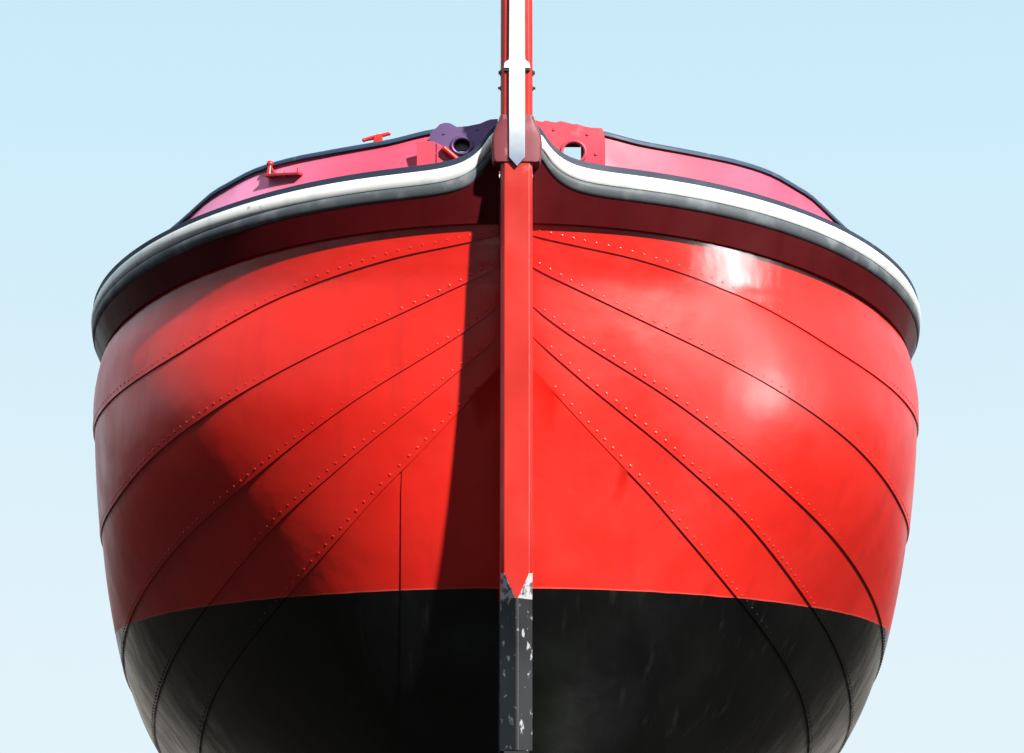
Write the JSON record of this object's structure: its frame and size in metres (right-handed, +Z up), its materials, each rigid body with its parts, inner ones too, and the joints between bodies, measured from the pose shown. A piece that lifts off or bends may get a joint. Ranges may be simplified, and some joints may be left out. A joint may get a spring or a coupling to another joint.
{
  "type": "double-ended steel motor lifeboat",
  "caption": "Red and black double-ended steel motor lifeboat with a tall stem, white fenders, low bulwarks, cabin, cockpit, rudder with tiller, screw, hatch and bollards.",
  "frame": {"origin": "on the floor, under the middle of the boat's overall length and on its centreline", "axes": "+Z up, the bow points along -Y, +X is to port"},
  "size_m": [4, 12, 4.252],
  "materials": {
    "hull_paint": "gloss red topsides over black bottom paint, brushed and weathered",
    "red_paint": "gloss",
    "black_paint": "satin, scuffed",
    "white_paint": "satin",
    "navy_paint": "satin",
    "deck_paint": "matt, non-slip",
    "cream_paint": "satin",
    "varnished_wood": "varnished",
    "window_glass": "clear",
    "bronze": "dull cast",
    "galvanised_steel": "dull"
  },
  "bodies": {
    "boat": {"hull": "hull_paint", "keel": "black_paint", "stem": "red_paint", "sternpost": "red_paint", "bilge_keel_port": "black_paint", "bilge_keel_starboard": "black_paint", "stem_casing": "red_paint", "stem_strap": "white_paint", "fender_upper_port": "white_paint", "fender_upper_starboard": "white_paint", "fender_lower_port": "black_paint", "fender_lower_starboard": "black_paint", "fender_shelf_port": "hull_paint", "fender_shelf_starboard": "hull_paint", "bulwark_port": "red_paint", "bulwark_starboard": "red_paint", "rail_port": "navy_paint", "rail_starboard": "navy_paint", "hawse_board_port": "red_paint", "hawse_board_starboard": "red_paint", "deck_fore": "deck_paint", "deck_aft": "deck_paint", "deck_side_port": "deck_paint", "deck_side_starboard": "deck_paint", "cabin_front": "cream_paint", "cabin_side_port": "cream_paint", "cabin_side_starboard": "cream_paint", "cabin_back": "cream_paint", "cabin_roof": "red_paint", "glass_front_port": "window_glass", "glass_front_starboard": "window_glass", "glass_fore_port": "window_glass", "glass_aft_port": "window_glass", "glass_fore_starboard": "window_glass", "glass_aft_starboard": "window_glass", "fore_hatch_coaming": "cream_paint", "rail_cleat_fore": "red_paint", "rail_cleat_aft": "red_paint", "bench_port": "varnished_wood", "bench_starboard": "varnished_wood", "engine_casing": "cream_paint", "engine": "galvanised_steel", "propeller_shaft": "galvanised_steel", "bitts_fore": "black_paint", "bollard_port": "black_paint", "bollard_starboard": "black_paint", "ventilator_port": "cream_paint", "ventilator_starboard": "cream_paint", "roof_rail_port": "galvanised_steel", "roof_rail_starboard": "galvanised_steel", "exhaust": "black_paint"},
    "door": {"cabin_door": "varnished_wood"},
    "hatch": {"fore_hatch_lid": "red_paint"},
    "engine_cover": {"engine_lid": "red_paint"},
    "steering": {"rudder": "red_paint", "tiller": "varnished_wood"},
    "screw": {"propeller": "bronze"}
  },
  "joints": [
    {"name": "rudder_hinge", "type": "hinge", "parent": "boat", "child": "steering", "pos_m": [0, 5.48, 1.35], "axis": [0, 0, 1], "range_deg": [-35, 35]},
    {"name": "screw_spin", "type": "hinge", "parent": "boat", "child": "screw", "pos_m": [0, 5.01, 0.62], "axis": [0, 1, 0], "continuous": true},
    {"name": "cabin_door_hinge", "type": "hinge", "parent": "boat", "child": "door", "pos_m": [0.308, 1.256, 2.7], "axis": [0, 0, -1], "range_deg": [0, 105]},
    {"name": "fore_hatch_hinge", "type": "hinge", "parent": "boat", "child": "hatch", "pos_m": [0, -3.662, 2.731], "axis": [1, 0, 0], "range_deg": [0, 105]},
    {"name": "engine_lid_hinge", "type": "hinge", "parent": "boat", "child": "engine_cover", "pos_m": [0, 3.014, 2.36], "axis": [-1, 0, 0], "range_deg": [0, 95]}
  ]
}
